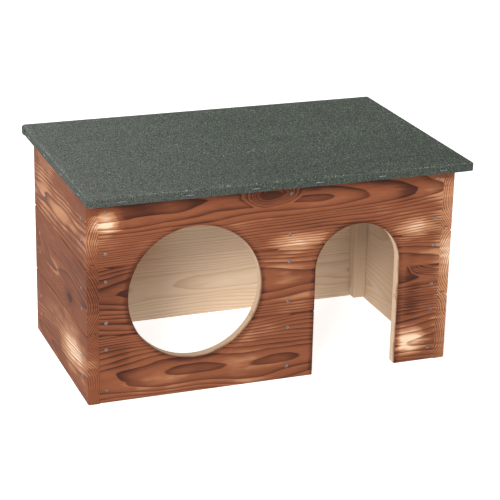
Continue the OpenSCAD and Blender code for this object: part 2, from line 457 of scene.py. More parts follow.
def pine_figure(tree):
    """Growth rings about the pith of each board, with knots: each part of the figure from 0 to 1.

    The attribute grain holds the place in the board: along the grain, and across it from the pith.
    """
    grain = read(tree, "grain").outputs["Vector"]
    along, across, deep = split(tree, grain)
    # Branches leave the pith like spokes, so a knot is a point of the plane: along, and round the pith
    round_pith = times(tree, calc(tree, "ARCTAN2", across, deep), BRANCH_ARC)
    knot_plane = joined(tree, times(tree, along, KNOT_LONG), round_pith, 0.0)
    distance, spread = cells(tree, knot_plane, KNOTS_PER_M, "2D")
    ragged = times(tree, sway(tree, grain, 30), KNOT_RAGGED)
    from_knot = add(tree, over(tree, distance, KNOTS_PER_M), ragged)
    size = remap(tree, split(tree, spread)[0], 0.35, 1.0, KNOT_LEAST, KNOT_MOST, smooth=False)
    knot = remap(tree, from_knot, times(tree, size, 1.12), times(tree, size, 0.8))
    halo = remap(tree, from_knot, times(tree, size, 3.4), times(tree, size, 0.9))
    bends = times(tree, sway(tree, stretched(tree, grain, (2.4, 11, 11))), BENDS)
    ripples = times(tree, sway(tree, stretched(tree, grain, (14, 60, 60))), RIPPLES)
    round_knot = times(tree, halo, times(tree, size, 1.5))
    ring = add(tree, hypotenuse(tree, across, deep), bends, ripples, round_knot)
    # Some years are wider than others, and the dark latewood ends sharply
    pace = times(tree, cloud(tree, joined(tree, 0.0, times(tree, ring, 90.0), 0.0), 1.0, 1.0), 1.6)
    year = calc(tree, "FRACT", add(tree, over(tree, ring, RING_W), pace))
    late = times(tree, calc(tree, "POWER", year, 2.4), remap(tree, year, 1.0, 0.93))
    knot_ring = calc(tree, "FRACT", over(tree, from_knot, KNOT_RING_W))
    fibre = cloud(tree, stretched(tree, grain, (38, 1500, 1500)), 1.0, 3.0, 0.6)
    return {
        "late": late, "knot": knot, "halo": halo,
        "knot_ring": knot_ring, "fibre": fibre, "grain": grain,
    }


# Colours are linear RGB: pine's early and late wood, and the dark and light rings of its knots
PALE = {"early": (0.70, 0.50, 0.35), "late": (0.42, 0.24, 0.14)}
TAN = {"early": (0.40, 0.190, 0.098), "late": (0.18, 0.064, 0.030)}
BROWN = {"early": (0.198, 0.064, 0.029), "late": (0.082, 0.022, 0.010)}
CHARRED = {"early": (0.078, 0.021, 0.010), "late": (0.024, 0.008, 0.005)}
BURNT_KNOT = {"dark": (0.030, 0.010, 0.006), "light": (0.080, 0.025, 0.012)}
PLANED = {"early": (0.66, 0.505, 0.365), "late": (0.50, 0.335, 0.21)}
PLANED_KNOT = {"dark": (0.16, 0.07, 0.035), "light": (0.29, 0.15, 0.08)}
AGED = (0.53, 0.37, 0.24)
# Painted shade for the inside walls, darkest just behind the front wall
INSIDE_SHADE_COLOUR = (0.27, 0.165, 0.095)
LICKED = (0.17, 0.06, 0.028)


def pine_colour(tree, figure, wood, knots):
    """The colour of planed pine from its figure."""
    colour = blend(tree, figure["late"], wood["early"], wood["late"])
    heart = blend(tree, figure["knot_ring"], knots["dark"], knots["light"])
    colour = blend(tree, times(tree, figure["halo"], 0.45), colour, wood["late"])
    return blend(tree, figure["knot"], colour, heart)


def with_fibres(tree, figure, colour, darkest, lightest):
    """colour, streaked by the wood's fibres."""
    return dimmed(tree, colour, remap(tree, figure["fibre"], 0.3, 0.7, darkest, lightest, smooth=False))


def raise_grain(tree, shader, figure, late_share, fibre_share, depth, strength):
    """The late wood and the fibres stand up by their shares of depth."""
    late, fibre = times(tree, figure["late"], late_share), times(tree, figure["fibre"], fibre_share)
    relief(tree, shader, add(tree, late, fibre), depth, strength)


SKIN = 40 * MM  # how deep a patch reaches, so that it marks one wall only
# Patches that the flame missed, below 0, and that it charred, above 0; the band along the top of the front is
# painted shadow under the eaves. Each: middle, reach along each axis, strength
FLAME_AND_SHADE_SPOTS = [
    ((HOUSE_LOW.x + 0.026, HOUSE_LOW.y, 0.885 * WALL_H), (0.015, SKIN, 0.014), -1.05),
    ((HOUSE_LOW.x + 0.279, HOUSE_LOW.y, 0.70 * WALL_H), (0.036, SKIN, 0.012), -0.62),
    ((HOUSE_LOW.x + 0.436, HOUSE_LOW.y, 0.70 * WALL_H), (0.022, SKIN, 0.012), -0.62),
    ((HOUSE_LOW.x + 0.433, HOUSE_LOW.y, 0.115 * WALL_H), (0.022, SKIN, 0.019), -1.25),
    ((HOUSE_LOW.x + 0.432, HOUSE_LOW.y, 0.40 * WALL_H), (0.013, SKIN, 0.055), 0.40),
    ((HOUSE_LOW.x + 0.424, HOUSE_LOW.y, 0.88 * WALL_H), (0.020, SKIN, 0.018), 0.40),
    ((HOUSE_LOW.x, -0.02, 0.80 * WALL_H), (SKIN, 0.13, 0.020), -0.25),
    ((HOUSE_LOW.x, -0.060, 0.18 * WALL_H), (SKIN, 0.056, 0.026), -0.75),
    ((HOUSE_HIGH.x, HOUSE_LOW.y, 0.5 * WALL_H), (0.021, SKIN, 0.160), -0.52),
    # Painted shadow of the roof's overhang: a darker band along the top of the front
    ((0.0, HOUSE_LOW.y, WALL_H), (0.320, SKIN, 0.026), 0.50),
    ((0.020, HOUSE_LOW.y, 0.52 * WALL_H), (0.030, SKIN, 0.035), -0.12),
    ((HOUSE_LOW.x + 0.030, HOUSE_LOW.y, 0.40 * WALL_H), (0.030, SKIN, 0.100), 0.28),
]
# Painted shade inside the back wall and the right wall: middle, reach along each axis, share, colour
SHADE_PATCHES = [
    ((-0.115, HOUSE_HIGH.y - BOARD_T, 0.50 * WALL_H), (0.052, SKIN, 0.085), 0.8, (0.38, 0.215, 0.105)),
    ((HOUSE_HIGH.x - BOARD_T, -0.02, 0.45 * WALL_H), (SKIN, 0.150, 0.150), 0.5, (0.25, 0.170, 0.115)),
]
SPOT_WHOLE, SPOT_GONE = 0.1, 1.7  # where a patch is whole and where it has faded out, in reaches
EVEN, BROAD, LICKS, TONED = 0.52, 1.25, 0.65, 0.3  # the heat everywhere, and the weights of its changes
RIM_W, RIM_HEAT = 9 * MM, 0.42  # the band round an opening that the flame browned from its edge


def streaked(tree, place):
    """place, pushed to and fro along the grain, so that patches end in streaks."""
    return pushed_about(tree, place, (22, 22, 260), (34 * MM, 34 * MM, 7 * MM))


def spot(tree, place, centre, reach):
    """1 at centre, fading to 0 about reach away from it along each axis."""
    away = [
        calc(tree, "POWER", over(tree, minus(tree, socket, middle), size), 2.0)
        for socket, middle, size in zip(split(tree, place), centre, reach)
    ]
    return remap(tree, calc(tree, "SQRT", add(tree, *away)), SPOT_GONE, SPOT_WHOLE)


def rim_heat(tree, place):
    """The extra heat at the edges of the round hole and of the arched door, on the front only."""
    x, y, z = split(tree, place)
    over_arch = calc(tree, "MAXIMUM", minus(tree, z, DOOR_TOP - DOOR_R), 0.0)
    rims = []
    for aside, above, radius in (
        (minus(tree, x, HOLE_X), minus(tree, z, HOLE_Z), HOLE_R),
        (minus(tree, x, DOOR_X), over_arch, DOOR_R),
    ):
        from_rim = minus(tree, hypotenuse(tree, aside, above), radius)
        rim = remap(tree, from_rim, RIM_W, 0.0, 0.0, RIM_HEAT)
        rims.append(times(tree, rim, remap(tree, y, 0.0, HOUSE_LOW.y * 0.9)))
    return rims


def flame(tree, place):
    """How hard the flame was held to the outside, from about 0, missed, to 1, charred, with a band of painted
    shadow under the eaves added in as heat.
    """
    broad = times(tree, sway(tree, stretched(tree, place, (8, 8, 16)), 1.0, 3.0, 0.55), BROAD)
    licked = stretched(tree, place, (13, 13, 95), (3, 1, 2))
    licks = times(tree, sway(tree, licked, 1.0, 3.0, 0.6), LICKS)
    tone = times(tree, read(tree, "tone").outputs["Fac"], TONED)
    ragged = streaked(tree, place)
    patches = [
        times(tree, spot(tree, ragged, centre, reach), strength)
        for centre, reach, strength in FLAME_AND_SHADE_SPOTS
    ]
    return add(tree, EVEN, broad, licks, tone, *patches, *rim_heat(tree, place))


def scorched_pine():
    """Pine browned by a flame and oiled: the soft early rings take the colour, the late rings char."""
    material, tree, shader = new_material("scorched_pine")
    figure = pine_figure(tree)
    late_heat = remap(tree, figure["late"], 0.0, 0.8, -0.10, 0.22, smooth=False)
    heat = add(tree, flame(tree, places(tree)), late_heat)
    colour = pine_colour(tree, figure, PALE, BURNT_KNOT)
    for wood, low, high in ((TAN, -0.35, 0.08), (BROWN, 0.08, 0.48), (CHARRED, 0.55, 1.15)):
        hotter = pine_colour(tree, figure, wood, BURNT_KNOT)
        colour = blend(tree, remap(tree, heat, low, high), colour, hotter)
    colour = with_fibres(tree, figure, colour, 0.82, 1.12)
    surface(tree, shader, colour, remap(tree, figure["late"], 0.0, 1.0, 0.78, 0.60), gloss=0.12)
    raise_grain(tree, shader, figure, 0.6, 0.35, 0.35 * MM, 0.8)
    return material


INSIDE_SHADE_REACH, INSIDE_SHADE_SHARE = 210 * MM, 0.95  # how far behind the front wall the inside takes painted shade, and how strongly
LICK_REACH, LICK_FULL, LICK_SHARE = 6.5 * MM, 0.5 * MM, 0.85  # how far the flame came round the edges
LICK_RAGGED = 8 * MM


def bare_pine():
    """Planed pine, unfinished, with a lick of flame at the front's edges. Inside, painted shade darkens the walls
    near the front wall and two patches on the back and right walls.
    """
    material, tree, shader = new_material("bare_pine")
    figure = pine_figure(tree)
    colour = pine_colour(tree, figure, PLANED, PLANED_KNOT)
    patchy = cloud(tree, stretched(tree, figure["grain"], (5, 30, 30)))
    colour = blend(tree, remap(tree, patchy, 0.35, 0.75, 0.0, 0.3), colour, AGED)
    place = places(tree)
    ragged = streaked(tree, place)
    # Painted shade: two darker patches inside the back wall and the right wall
    for centre, reach, share, patch_colour in SHADE_PATCHES:
        patch_share = times(tree, spot(tree, ragged, centre, reach), share)
        colour = blend(tree, patch_share, colour, patch_colour)
    colour = with_fibres(tree, figure, colour, 0.9, 1.06)
    x, y, z = split(tree, place)
    edge = add(tree, y, times(tree, sway(tree, place, 60), LICK_RAGGED))
    below_roof = remap(tree, z, HOUSE_HIGH.z + NEAR, HOUSE_HIGH.z, smooth=False)
    inside = HOUSE_LOW.y + BOARD_T
    behind_front = remap(tree, y, inside - NEAR, inside, smooth=False)
    # Painted shade: the inside walls under the roof darken towards the front wall
    shade_behind_front = times(tree, remap(tree, edge, inside + INSIDE_SHADE_REACH, inside, 0.0, INSIDE_SHADE_SHARE), behind_front)
    colour = blend(tree, times(tree, below_roof, shade_behind_front), colour, INSIDE_SHADE_COLOUR)
    licked = remap(tree, edge, HOUSE_LOW.y + LICK_REACH, HOUSE_LOW.y + LICK_FULL, 0.0, LICK_SHARE)
    colour = blend(tree, times(tree, below_roof, licked), colour, LICKED)
    surface(tree, shader, colour, remap(tree, figure["late"], 0.0, 1.0, 0.72, 0.56), gloss=0.3)
    raise_grain(tree, shader, figure, 0.4, 0.5, 0.2 * MM, 0.7)
    return material


# ---- Materials: felt, steel and the floor ----

SLATE = {"dark": (0.055, 0.078, 0.060), "light": (0.125, 0.150, 0.118)}
PALE_CHIP, DARK_CHIP = (0.30, 0.32, 0.27), (0.020, 0.024, 0.021)
# Painted sheen colour for the felt's left end
SHEEN_GREY = (0.20, 0.20, 0.20)
# Painted shade colour for the felt's turned-down sides
FELT_SIDE_SHADE = (0.022, 0.028, 0.024)
BITUMEN = (0.018, 0.021, 0.019)
GRANULES_PER_M = 900
GRANULE_RAGGED = 1.1 * MM


def green_felt():
    """Bitumen felt with green slate granules pressed into it."""
    material, tree, shader = new_material("green_felt")
    place = places(tree)
    x, y, z = split(tree, place)
    broken = pushed_about(tree, place, (1100,) * 3, (GRANULE_RAGGED,) * 3)
    distance, spread = cells(tree, broken, GRANULES_PER_M)
    green, pale, dark = split(tree, spread)
    colour = blend(tree, remap(tree, green, 0.0, 1.0, smooth=False), SLATE["dark"], SLATE["light"])
    colour = blend(tree, remap(tree, pale, 0.90, 0.93), colour, PALE_CHIP)
    colour = blend(tree, remap(tree, dark, 0.86, 0.90), colour, DARK_CHIP)
    blotches = cloud(tree, stretched(tree, place, (7, 9, 9)), 1.0, 4.0, 0.6)
    bands = cloud(tree, stretched(tree, place, (2.5, 55, 55)), 1.0, 3.0, 0.6)
    blotchy = remap(tree, blotches, 0.3, 0.7, 0.42, 0.57, smooth=False)
    banded = remap(tree, bands, 0.3, 0.7, 0.43, 0.57, smooth=False)
    # Painted sheen: the felt is painted lighter towards the back
    sheen_to_back = remap(tree, y, ROOF_LOW.y, ROOF_HIGH.y, -0.03, 0.13, smooth=False)
    colour = dimmed(tree, colour, add(tree, blotchy, banded, sheen_to_back))
    # Painted sheen: the left end is painted a paler grey. Painted shade: the turned-down sides are painted darker
    colour = blend(tree, remap(tree, x, ROOF_LOW.x, 0.04, 0.26, 0.0), colour, SHEEN_GREY)
    # Painted shade: the turned-down sides and the underside are painted darker than the top
    rubbed_and_shaded = remap(tree, z, ROOF_HIGH.z - 1.0 * MM, ROOF_HIGH.z - 3.5 * MM, 0.0, 0.55)
    colour = blend(tree, rubbed_and_shaded, colour, FELT_SIDE_SHADE)
    colour = blend(tree, remap(tree, distance, 0.45, 0.75), colour, BITUMEN)
    surface(tree, shader, colour, remap(tree, green, 0.0, 1.0, 0.72, 0.9), gloss=0.25)
    height = add(tree, minus(tree, 1.0, distance), times(tree, pale, 0.5))
    relief(tree, shader, height, 0.45 * MM, 0.9)
    return material


def zinc(name, dark, light):
    """Zinc plated steel: a little blue, with rubbed streaks and dull blotches."""
    material, tree, shader = new_material(name)
    place = places(tree)
    mottle = cloud(tree, place, 300, 4.0, 0.65)
    rubbed_and_shaded = cloud(tree, stretched(tree, place, (160, 1400, 1400)))
    colour = blend(tree, remap(tree, mottle, 0.3, 0.7), dark, light)
    dull = remap(tree, cloud(tree, place, 130, 3.0, 0.6), 0.56, 0.74)
    colour = blend(tree, times(tree, dull, 0.5), colour, [0.7 * part for part in dark])
    surface(tree, shader, colour, remap(tree, rubbed_and_shaded, 0.3, 0.7, 0.30, 0.50), metallic=1.0)
    relief(tree, shader, add(tree, mottle, rubbed_and_shaded), 0.04 * MM, 0.6)
    return material


def smoked_zinc():
    """The wall nails, which the flame has blued and browned."""
    material, tree, shader = new_material("smoked_zinc")
    mottle = cloud(tree, places(tree), 420, 3.0, 0.6)
    colour = blend(tree, remap(tree, mottle, 0.3, 0.7), (0.10, 0.075, 0.065), (0.24, 0.21, 0.20))
    surface(tree, shader, colour, remap(tree, mottle, 0.3, 0.7, 0.62, 0.42), metallic=0.9)
    relief(tree, shader, mottle, 0.06 * MM, 0.7)
    return material


def pale_floor():
    """A white table, lit from within so that it stays pale under the house."""
    material, tree, shader = new_material("pale_floor")
    surface(tree, shader, (0.60, 0.60, 0.60, 1), 0.9, gloss=0.0)
    shader.inputs["Emission Color"].default_value = (1, 1, 1, 1)
    shader.inputs["Emission Strength"].default_value = 0.82
    return material


SCORCHED, BARE, FELT = scorched_pine(), bare_pine(), green_felt()
ZINC = zinc("zinc_plate", (0.40, 0.42, 0.44), (0.60, 0.61, 0.62))
STAPLE_WIRE = zinc("staple_wire", (0.16, 0.165, 0.165), (0.30, 0.31, 0.31))
SMOKED_ZINC = smoked_zinc()

# ---- Timber ----

WALL_TONGUE = (5 * MM, 5 * MM)  # thickness and height
ROOF_TONGUE = (3.5 * MM, 4 * MM)
PLAY, END_PLAY = 0.2 * MM, 0.8 * MM  # room in a groove beside the tongue and beyond it
ARRIS = 1.5 * MM  # the chamfer along each joint
EASED, BATTEN_EASED = 0.45 * MM, 0.8 * MM
OVERRUN = 20 * MM  # how far a saw or plough runs past the wood
TOP_ROW = 2
PITH_NEAR, PITH_FAR = 30 * MM, 60 * MM  # from the middle of a board's thickness


def tongued_board(name, length, thick, cover, tongue, row):
    """A board along +X from the origin, its face on y = 0. Row 0 has no groove, the top row no tongue."""
    tongue_t, tongue_h = tongue
    middle = thick / 2
    board = block(name, (0, 0, 0), (length, thick, cover))
    if row < TOP_ROW:
        pick_faces(board, lambda face: True)
        for side in (-1, 1):
            slice_at((0, middle + side * tongue_t / 2, 0), BACK)
        pick_faces(board, lambda face: face.center.z > cover - NEAR and abs(face.center.y - middle) < NEAR)
        pull((0, 0, tongue_h))
    pick_edges(board, lambda a, b: max(a.y, b.y) < NEAR and abs(a.z - b.z) < NEAR)
    bpy.ops.mesh.bevel(offset=ARRIS, segments=1)
    if row > 0:
        groove = tongue_t / 2 + PLAY
        low = (-OVERRUN, middle - groove, -OVERRUN)
        high = (length + OVERRUN, middle + groove, tongue_h + END_PLAY)
        cut(board, block("plough", low, high))
    return board


def lay_grain(piece, to_board, depth, width, seed, tone=0.0):
    """Gives each point its place in the tree that the board was sawn from, and its share of the flame."""
    rng = random.Random(seed)
    pith = Vector((
        rng.uniform(1, 9),
        rng.choice((-1, 1)) * rng.uniform(PITH_NEAR, PITH_FAR) + depth / 2,
        width / 2 + rng.uniform(-0.35, 0.35) * width,
    ))
    mesh = piece.data
    for kind, name in (("FLOAT_VECTOR", "grain"), ("FLOAT", "tone")):
        mesh.attributes.new(name, kind, "POINT")
    for i, vertex in enumerate(mesh.vertices):
        along, deep, across = to_board @ vertex.co
        mesh.attributes["grain"].data[i].vector = (along + pith.x, across - pith.z, deep - pith.y)
        mesh.attributes["tone"].data[i].value = tone


def paint_timber(piece, scorched):
    """Scorched pine on the faces for which scorched(face) is true, and bare pine on the rest."""
    piece.data.materials.clear()
    piece.data.materials.append(SCORCHED)
    piece.data.materials.append(BARE)
    for face in piece.data.polygons:
        face.material_index = 0 if scorched(face) else 1


def fit(piece, node, body):
    """piece takes the CAD node's place and moves with its body."""
    put_down()
    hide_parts(node)
    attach(piece, body)
    return piece


def opening_saws():
    """The cutters of the round hole, of the door's arch and of the door below its arch."""
    start, end = HOUSE_LOW.y - OVERRUN, HOUSE_LOW.y + BOARD_T + OVERRUN
    spring = DOOR_TOP - DOOR_R
    return [
        rod("hole_saw", (HOLE_X, start, HOLE_Z), BACK, end - start, HOLE_R, 160),
        rod("arch_saw", (DOOR_X, start, spring), BACK, end - start, DOOR_R, 160),
        block("jamb_saw", (DOOR_X - DOOR_R, start, -OVERRUN), (DOOR_X + DOOR_R, end, spring)),
    ]


ROWS = {"bottom": 0, "middle": 1, "top": TOP_ROW}
# Each wall's turn about the middle of the house, its face's distance from there, and its outward side
WALLS = {
    "front": (0, -HOUSE_LOW.y, FRONT),
    "right": (90, HOUSE_HIGH.x, RIGHT),
    "back": (180, HOUSE_HIGH.y, BACK),
    "left": (270, -HOUSE_LOW.x, LEFT),
}
# How much more, or less, than the others a board was scorched
TONE = {
    "front_middle": 0.15, "front_top": -0.05, "front_bottom": 0.1,
    "left_top": -0.20, "left_middle": 0.12, "left_bottom": -0.1,
    "right_top": 0.1, "right_middle": -0.2, "right_bottom": 0.2,
    "back_top": 0.1, "back_middle": -0.15, "back_bottom": 0.1,
}


def wall_board(node):
    """One board, or piece of a board, of a wall."""
    wall, _, row_name = node.split("_")[:3]
    row = ROWS[row_name]
    turn, reach, outward = WALLS[wall]
    low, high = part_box(node)
    to_wall = Matrix.Rotation(math.radians(turn), 4, "Z")
    corners = [to_wall.inverted() @ corner for corner in (low, high)]
    start = min(corner.x for corner in corners)
    length = abs(corners[1].x - corners[0].x)
    board = tongued_board("pine_" + node, length, BOARD_T, COVER, WALL_TONGUE, row)
    board.matrix_world = to_wall @ Matrix.Translation((start, -reach, row * COVER))
    settle(board)
    if wall == "front":
        for saw in opening_saws():
            cut(board, saw)
    ease(board, EASED)
    to_board = (to_wall @ Matrix.Translation((0, -reach, row * COVER))).inverted()
    lay_grain(board, to_board, BOARD_T, COVER, wall + row_name, TONE[f"{wall}_{row_name}"])
    ends_show = wall in ("left", "right")

    def scorched(face):
        return face.normal.dot(outward) > 0.3 or ends_show and abs(face.normal.y) > 0.5

    paint_timber(board, scorched)
    return fit(board, node, "house")


ROOF_ROWS = ["front", "middle", "back"]


def roof_board(node):
    """One board of the roof, its face side down."""
    row = ROOF_ROWS.index(node.split("_")[-1])
    low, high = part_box(node)
    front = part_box("roof_board_front")[0].y
    length = high.x - low.x
    board = tongued_board("pine_" + node, length, ROOF_BOARD_T, ROOF_COVER, ROOF_TONGUE, row)
    lay_down = Matrix((
        (-1, 0, 0, high.x),
        (0, 0, 1, front + row * ROOF_COVER),
        (0, 1, 0, low.z),
        (0, 0, 0, 1),
    ))
    board.matrix_world = lay_down
    settle(board)
    ease(board, EASED)
    lay_grain(board, lay_down.inverted(), ROOF_BOARD_T, ROOF_COVER, node)
    paint_timber(board, lambda face: False)
    return fit(board, node, "roof")


def batten(node, body):
    """A square-sawn batten, its grain along its longest side."""
    low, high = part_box(node)
    size = high - low
    piece = block("pine_" + node, low, high)
    pick_faces(piece, lambda face: True)
    bpy.ops.mesh.subdivide(number_cuts=5)
    put_down()
    ease(piece, BATTEN_EASED, 3, 60)
    longest = max(range(3), key=lambda i: size[i])
    others = [i for i in range(3) if i != longest]
    to_board = Matrix.Identity(4)
    for row, axis in enumerate((longest, others[0], others[1])):
        to_board[row] = [1.0 if i == axis else 0.0 for i in range(3)] + [-low[axis]]
    lay_grain(piece, to_board, size[others[0]], size[others[1]], node)
    paint_timber(piece, lambda face: False)
    return fit(piece, node, body)


# ---- Steel ----

STAPLE_T = 1.0 * MM


def nail(name, length):
    """A round wire nail driven along +Y, its slightly domed head on y = 0."""
    head_r, head_t, head_edge = 2.3 * MM, 0.9 * MM, 0.22 * MM
    dome_rim, dome_h = 0.9 * MM, 0.12 * MM
    shank_r, point, tip = 1.0 * MM, 2.5 * MM, 0.12
    head = rod(name, (0, 0, 0), BACK, head_t, head_r, 24)
    pick_faces(head, lambda face: face.normal.y < -0.9)
    bpy.ops.mesh.inset(thickness=dome_rim)
    bpy.ops.transform.translate(value=(0, -dome_h, 0))
    put_down()
    round_over(head, head_edge, 2, 50)
    shank = rod("shank", (0, head_t, 0), BACK, length - head_t - point, shank_r, 12)
    pick_faces(shank, lambda face: face.normal.y > 0.9)
    pull((0, point, 0))
    bpy.ops.transform.resize(value=(tip, 1, tip))
    put_down()
    return join(name, [head, shank])


def screw(name, length):
    """A countersunk screw with a cross recess, its head on z = 0 and its point up."""
    head_r, head_edge = 2.7 * MM, 0.18 * MM
    shank_r, point, tip = 1.4 * MM, 2.5 * MM, 0.1
    slot_l, slot_w, slot_d = 2.8 * MM, 0.6 * MM, 0.9 * MM
    head_t = head_r - shank_r
    head = cone(name, (0, 0, 0), head_r, shank_r)
    round_over(head, head_edge, 2, 80)
    for wide, deep in ((slot_l, slot_w), (slot_w, slot_l)):
        cut(head, block("driver", (-wide / 2, -deep / 2, -slot_d), (wide / 2, deep / 2, slot_d)))
    shank = rod("shank", (0, 0, head_t), UP, length - head_t - point, shank_r, 16)
    pick_faces(shank, lambda face: face.normal.z > 0.9)
    pull((0, 0, point))
    bpy.ops.transform.resize(value=(tip, tip, 1))
    put_down()
    return join(name, [head, shank])


def staple(name):
    """A wire staple with a level crown, driven along +Y, the middle of its crown's wire on y = 0."""
    wide, wire, legs, bend = 10 * MM, STAPLE_T, 10 * MM, 0.3 * MM
    crown = block(name, (-wide / 2, -wire / 2, -wire / 2), (wide / 2, wire / 2, wire / 2))
    pick_faces(crown, lambda face: True)
    for side in (-1, 1):
        slice_at((side * (wide / 2 - wire), 0, 0), RIGHT)
    pick_faces(crown, lambda face: face.normal.y > 0.9 and abs(face.center.x) > wide / 2 - wire)
    pull((0, legs - wire / 2, 0))
    put_down()
    ease(crown, bend, 3, 50)
    return crown


def drive_all(node, pattern, body, place, metal):
    """A copy of pattern at each solid of a CAD node; place(low, high) says where and which way."""
    group = join("steel_" + node, [copy_to(place(low, high), pattern) for low, high in islands(node)])
    fit_steel(group, node, body, metal)


def fit_steel(piece, node, body, metal):
    """Coats a steel piece, shades it and fits it to its body."""
    coat(piece, metal)
    shade(piece, 40)
    fit(piece, node, body)


def facing(turn, head_at):
    """Turns a fastening that is driven along +Y by turn degrees about Z and puts its head at head_at."""
    return Matrix.Translation(head_at) @ Matrix.Rotation(math.radians(turn), 4, "Z")


def wall_nails(wall, pattern):
    turn, _, outward = WALLS[wall]

    def place(low, high):
        middle = (low + high) / 2
        across = middle - outward * middle.dot(outward)
        return facing(turn, across + outward * max(low.dot(outward), high.dot(outward)))

    drive_all(wall + "_nails", pattern, "house", place, SMOKED_ZINC)


def batten_screws(pattern):
    def place(low, high):
        return Matrix.Translation(((low.x + high.x) / 2, (low.y + high.y) / 2, low.z))

    drive_all("roof_batten_screws", pattern, "roof", place, ZINC)


def felt_staples(pattern):
    def place(low, high):
        middle = (low + high) / 2
        # For each side of the roof: how far inside it the staple is, the staple's turn and its crown
        _, turn, x, y = min([
            (middle.y - ROOF_LOW.y, 0, middle.x, low.y),
            (ROOF_HIGH.x - middle.x, 90, high.x, middle.y),
            (ROOF_HIGH.y - middle.y, 180, middle.x, high.y),
            (middle.x - ROOF_LOW.x, 270, low.x, middle.y),
        ])
        inward = Matrix.Rotation(math.radians(turn), 3, "Z") @ BACK
        return facing(turn, Vector((x, y, middle.z)) + inward * STAPLE_T / 2)

    drive_all("felt_staples", pattern, "roof", place, STAPLE_WIRE)


# ---- Hinges ----

PIN_AT = Vector(frame["joints"][0]["pos_m"])
KNUCKLE_R = PIN_AT.y - HOUSE_HIGH.y
PIN_R, PIN_PLAY = 1.25 * MM, 0.07 * MM
HINGE_L, LEAF_W, LEAF_T = 50 * MM, 22 * MM, 1.2 * MM
LEAF_ROOT = KNUCKLE_R + 0.3 * MM
KNUCKLES, KNUCKLE_GAP = 5, 0.3 * MM
LEAF_CORNER, LEAF_EDGE = 3 * MM, 0.15 * MM
ROLL = 300  # degrees that a knuckle goes round the pin
SCREW_ROW = (LEAF_ROOT + LEAF_W) / 2
SCREWS_AT = (-17 * MM, 0, 17 * MM)
PIN_HEAD_T, PIN_HEAD_R, PIN_EDGE = 0.8 * MM, KNUCKLE_R - 0.4 * MM, 0.25 * MM


def countersink(x):
    """The drill and countersink for one screw of a leaf, as one cutter."""
    drill_r, sink_r, sink_t, outside = 1.55 * MM, 3.15 * MM, 1.6 * MM, 0.15 * MM
    drill = rod("drill", (x, SCREW_ROW, -2 * LEAF_T), UP, 4 * LEAF_T, drill_r, 28)
    unite(drill, cone("sink", (x, SCREW_ROW, -LEAF_T - outside), sink_r, sink_r - sink_t))
    return drill


def hinge_leaf(name, first, bore_r):
    """A leaf of one plate under z = 0, its knuckles rolled about the pin, which lies along X.

    first is the number of its first knuckle.
    """
    leaf = block(name, (-HINGE_L / 2, LEAF_ROOT, -LEAF_T), (HINGE_L / 2, LEAF_W, 0))
    pick_edges(leaf, lambda a, b: min(a.y, b.y) > LEAF_W - NEAR and abs(a.x - b.x) < NEAR)
    bpy.ops.mesh.bevel(offset=LEAF_CORNER, segments=6)
    pitch = HINGE_L / KNUCKLES
    middles = [(k - (KNUCKLES - 1) / 2) * pitch for k in range(first, KNUCKLES, 2)]
    half = (pitch - KNUCKLE_GAP) / 2
    for x in [middle + side * half for middle in middles for side in (-1, 1)]:
        if abs(x) < HINGE_L / 2 - KNUCKLE_GAP:
            slice_at((x, 0, 0), RIGHT)

    def in_knuckle(face):
        return any(abs(face.center.x - middle) < pitch / 2 - KNUCKLE_GAP for middle in middles)

    pick_faces(leaf, lambda face: face.normal.y < -0.9 and in_knuckle(face))
    pull((0, -LEAF_ROOT, 0))
    pick_edges(leaf, lambda a, b: max(a.y, b.y) < NEAR and max(a.z, b.z) < NEAR - LEAF_T)
    bpy.ops.transform.translate(value=(0, 0, LEAF_T + bore_r - KNUCKLE_R))
    pick_faces(leaf, lambda face: face.normal.y < -0.9 and face.center.y < NEAR)
    bpy.ops.mesh.spin(steps=24, angle=math.radians(ROLL), center=(0, 0, -KNUCKLE_R), axis=LEFT)
    bpy.ops.mesh.select_all(action="SELECT")
    bpy.ops.mesh.remove_doubles(threshold=SAME)
    bpy.ops.mesh.normals_make_consistent(inside=False)
    put_down()
    round_over(leaf, LEAF_EDGE, 2, 60)
    for x in SCREWS_AT:
        cut(leaf, countersink(x))
    weld(leaf)
    return leaf


def hinge(name, screw_pattern):
    """Both leaves, the pin and the six screws of one hinge."""
    low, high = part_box(name + "_pin")
    middle = (low.x + high.x) / 2
    under_roof = Matrix.Translation((middle, PIN_AT.y, ROOF_LOW.z))
    on_wall = Matrix.Translation((middle, HOUSE_HIGH.y, PIN_AT.z)) @ (
        Matrix.Rotation(math.pi, 4, "Z") @ Matrix.Rotation(-math.pi / 2, 4, "X"))
    for part, first, bore, where, body in (
        ("wall", 0, PIN_R, on_wall, "house"),
        ("roof", 1, PIN_R + PIN_PLAY, under_roof, "roof"),
    ):
        leaf = hinge_leaf(f"steel_{name}_{part}_leaf", first, bore)
        leaf.matrix_world = where
        settle(leaf)
        fit_steel(leaf, f"{name}_{part}_leaf", body, ZINC)
        copies = []
        for x in SCREWS_AT:
            turn = Matrix.Rotation(random.Random(name + part + str(x)).uniform(0, 1.5), 4, "Z")
            place = where @ Matrix.Translation((x, SCREW_ROW, -LEAF_T)) @ turn
            copies.append(copy_to(place, screw_pattern))
        screws = join(f"steel_{name}_{part}_screws", copies)
        fit_steel(screws, f"{name}_{part}_screws", body, ZINC)
    pin = rod(f"steel_{name}_pin", (low.x, PIN_AT.y, PIN_AT.z), RIGHT, high.x - low.x, PIN_R, 24)
    for x in (low.x, high.x - PIN_HEAD_T):
        unite(pin, rod("pin_head", (x, PIN_AT.y, PIN_AT.z), RIGHT, PIN_HEAD_T, PIN_HEAD_R, 28))
    ease(pin, PIN_EDGE, 3, 50)
    coat(pin, ZINC)
    fit(pin, name + "_pin", "house")


# ---- Roofing felt ----

FELT_T = ROOF_HIGH.z - DECK_HIGH
FELT_CELL = 8 * MM
FELT_CORNER, FELT_BEND = 3.2 * MM, 2.6 * MM
FLAP_ROWS = (3 * MM, 6 * MM)  # heights above the lower edge


